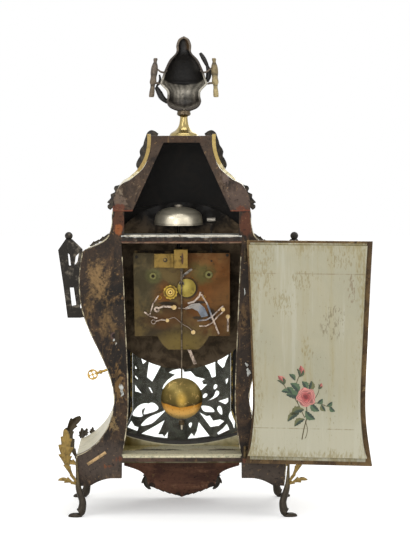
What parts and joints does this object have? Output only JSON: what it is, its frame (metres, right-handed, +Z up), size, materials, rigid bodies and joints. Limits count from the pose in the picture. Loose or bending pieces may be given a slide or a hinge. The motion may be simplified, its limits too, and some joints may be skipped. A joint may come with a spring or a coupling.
{
  "type": "cartel clock",
  "caption": "Waisted cartel clock on scrolled feet with an open rear door, spring movement with pendulum, bell and hammer, pierced front door and urn finial.",
  "frame": {"origin": "on the surface that the clock stands on, below the middle of the case", "axes": "+Z up, +Y towards the dial, +X to the right in the rear view that the picture shows"},
  "size_m": [0.4627, 0.2181, 0.7015],
  "materials": {
    "dark_veneer": "worn dark stain",
    "carcass_wood": "bare aged wood",
    "painted_side": "cream paint",
    "door_cream": "cream paint, streaked",
    "door_edge": "worn brown edge",
    "gilt_bronze": "aged gilt",
    "dark_bronze": "dark patina",
    "brass": "satin",
    "steel": "satin",
    "bell_metal": "satin",
    "blued_steel": "blued",
    "enamel": "glossy",
    "black_iron": "matt",
    "glass": "clear"
  },
  "bodies": {
    "case": {"rear_stile_left": "dark_veneer", "rear_stile_right": "dark_veneer", "rear_shelf_rail": "dark_veneer", "rear_bottom_rail": "dark_veneer", "hood_rear_frame": "dark_veneer", "base_board": "carcass_wood", "hood_top_board": "carcass_wood", "front_apron": "carcass_wood", "side_wall_left": "painted_side", "side_wall_right": "painted_side", "hood_sides": "painted_side", "front_board": "painted_side", "hood_front_panel": "painted_side", "foot_rear_left": "gilt_bronze", "foot_rear_right": "gilt_bronze", "foot_front_left": "gilt_bronze", "foot_front_right": "gilt_bronze", "hood_mounts": "gilt_bronze", "hood_beads": "gilt_bronze", "corner_mount_left": "dark_bronze", "corner_mount_right": "dark_bronze", "finial_urn": "dark_bronze", "finial_base": "brass", "suspension_cock": "brass", "case_hinges": "brass", "plate_pillars": "brass", "front_plate": "brass", "back_plate": "brass", "lock_case": "steel", "bell_stand": "steel", "strike_springs": "steel", "bell": "bell_metal", "dial": "enamel", "dial_plate": "black_iron"},
    "rear_door": {"rear_door_lip": "door_edge", "rear_door_panel": "door_cream", "rear_door_clamps": "door_cream", "rear_door_hinges": "brass"},
    "front_door": {"front_door_frame": "gilt_bronze", "front_door_glass": "glass", "front_door_fret": "dark_bronze"},
    "key": {"door_key": "brass"},
    "button": {"turn_button": "brass"},
    "pendulum": {"pendulum_rod": "steel", "pendulum_bob": "brass", "rating_nut": "brass"},
    "anchor": {"anchor_crutch": "steel"},
    "third": {"third_wheel": "brass"},
    "centre": {"centre_wheel": "brass", "minute_hand": "blued_steel"},
    "escape": {"escape_wheel": "brass"},
    "going": {"going_barrel": "brass"},
    "minute": {"minute_wheel": "brass"},
    "hour": {"hour_wheel": "brass", "hour_hand": "blued_steel"},
    "star": {"star_wheel": "brass"},
    "pin": {"pin_wheel": "brass"},
    "strike": {"strike_barrel": "brass"},
    "hammer_arm": {"hammer": "steel"},
    "strike_arm": {"strike_lever": "steel"}
  },
  "joints": [
    {"name": "rear_door_hinge", "type": "hinge", "parent": "case", "child": "rear_door", "pos_m": [0.0925, -0.0824, 0.24], "axis": [0, 0, 1], "range_deg": [-171, 0]},
    {"name": "front_door_hinge", "type": "hinge", "parent": "case", "child": "front_door", "pos_m": [0.118, 0.081, 0.328], "axis": [0, 0, 1], "range_deg": [-110, 0]},
    {"name": "key_turn", "type": "hinge", "parent": "case", "child": "key", "pos_m": [-0.1043, 0.04, 0.204], "axis": [0.9511, 0, 0.309], "range_deg": [-180, 180]},
    {"name": "button_turn", "type": "hinge", "parent": "case", "child": "button", "pos_m": [-0.094, -0.08, 0.266], "axis": [0, 1, 0], "range_deg": [-90, 90]},
    {"name": "pendulum_swing", "type": "hinge", "parent": "case", "child": "pendulum", "pos_m": [0, -0.05, 0.38], "axis": [0, 1, 0], "range_deg": [-4, 4]},
    {"name": "anchor_rock", "type": "hinge", "parent": "case", "child": "anchor", "pos_m": [0, 0, 0.38], "axis": [0, 1, 0], "range_deg": [-4, 4]},
    {"name": "third_spin", "type": "hinge", "parent": "case", "child": "third", "pos_m": [0.0164, 0, 0.3469], "axis": [0, 1, 0], "continuous": true},
    {"name": "centre_spin", "type": "hinge", "parent": "case", "child": "centre", "pos_m": [0, 0, 0.328], "axis": [0, 1, 0], "continuous": true},
    {"name": "escape_spin", "type": "hinge", "parent": "case", "child": "escape", "pos_m": [0, 0, 0.36], "axis": [0, 1, 0], "continuous": true},
    {"name": "going_spin", "type": "hinge", "parent": "case", "child": "going", "pos_m": [0.0325, 0, 0.318], "axis": [0, 1, 0], "continuous": true},
    {"name": "minute_spin", "type": "hinge", "parent": "case", "child": "minute", "pos_m": [0, 0, 0.3136], "axis": [0, 1, 0], "continuous": true},
    {"name": "hour_spin", "type": "hinge", "parent": "case", "child": "hour", "pos_m": [0, 0, 0.328], "axis": [0, 1, 0], "continuous": true},
    {"name": "star_spin", "type": "hinge", "parent": "case", "child": "star", "pos_m": [-0.0166, 0, 0.3266], "axis": [0, 1, 0], "continuous": true},
    {"name": "pin_spin", "type": "hinge", "parent": "case", "child": "pin", "pos_m": [-0.04, 0, 0.3512], "axis": [0, 1, 0], "continuous": true},
    {"name": "strike_spin", "type": "hinge", "parent": "case", "child": "strike", "pos_m": [-0.0325, 0, 0.318], "axis": [0, 1, 0], "continuous": true},
    {"name": "hammer_swing", "type": "hinge", "parent": "case", "child": "hammer_arm", "pos_m": [0.044, 0, 0.372], "axis": [0, 1, 0], "range_deg": [-4.4, 8], "stiffness_Nm_per_rad": 0.05},
    {"name": "strike_lever_rock", "type": "hinge", "parent": "case", "child": "strike_arm", "pos_m": [-0.0366, 0, 0.3007], "axis": [0, 1, 0], "range_deg": [-4, 4], "stiffness_Nm_per_rad": 0.05}
  ],
  "couplings": [
    {"joint": "anchor_rock", "follows": "pendulum_swing", "ratio": 1},
    {"joint": "centre_spin", "follows": "third_spin", "ratio": -0.083333},
    {"joint": "escape_spin", "follows": "third_spin", "ratio": -11},
    {"joint": "going_spin", "follows": "third_spin", "ratio": 0.0092593},
    {"joint": "minute_spin", "follows": "third_spin", "ratio": 0.027778},
    {"joint": "hour_spin", "follows": "third_spin", "ratio": -0.0069444},
    {"joint": "star_spin", "follows": "third_spin", "ratio": 0.0069444},
    {"joint": "strike_spin", "follows": "pin_spin", "ratio": -0.11111}
  ]
}
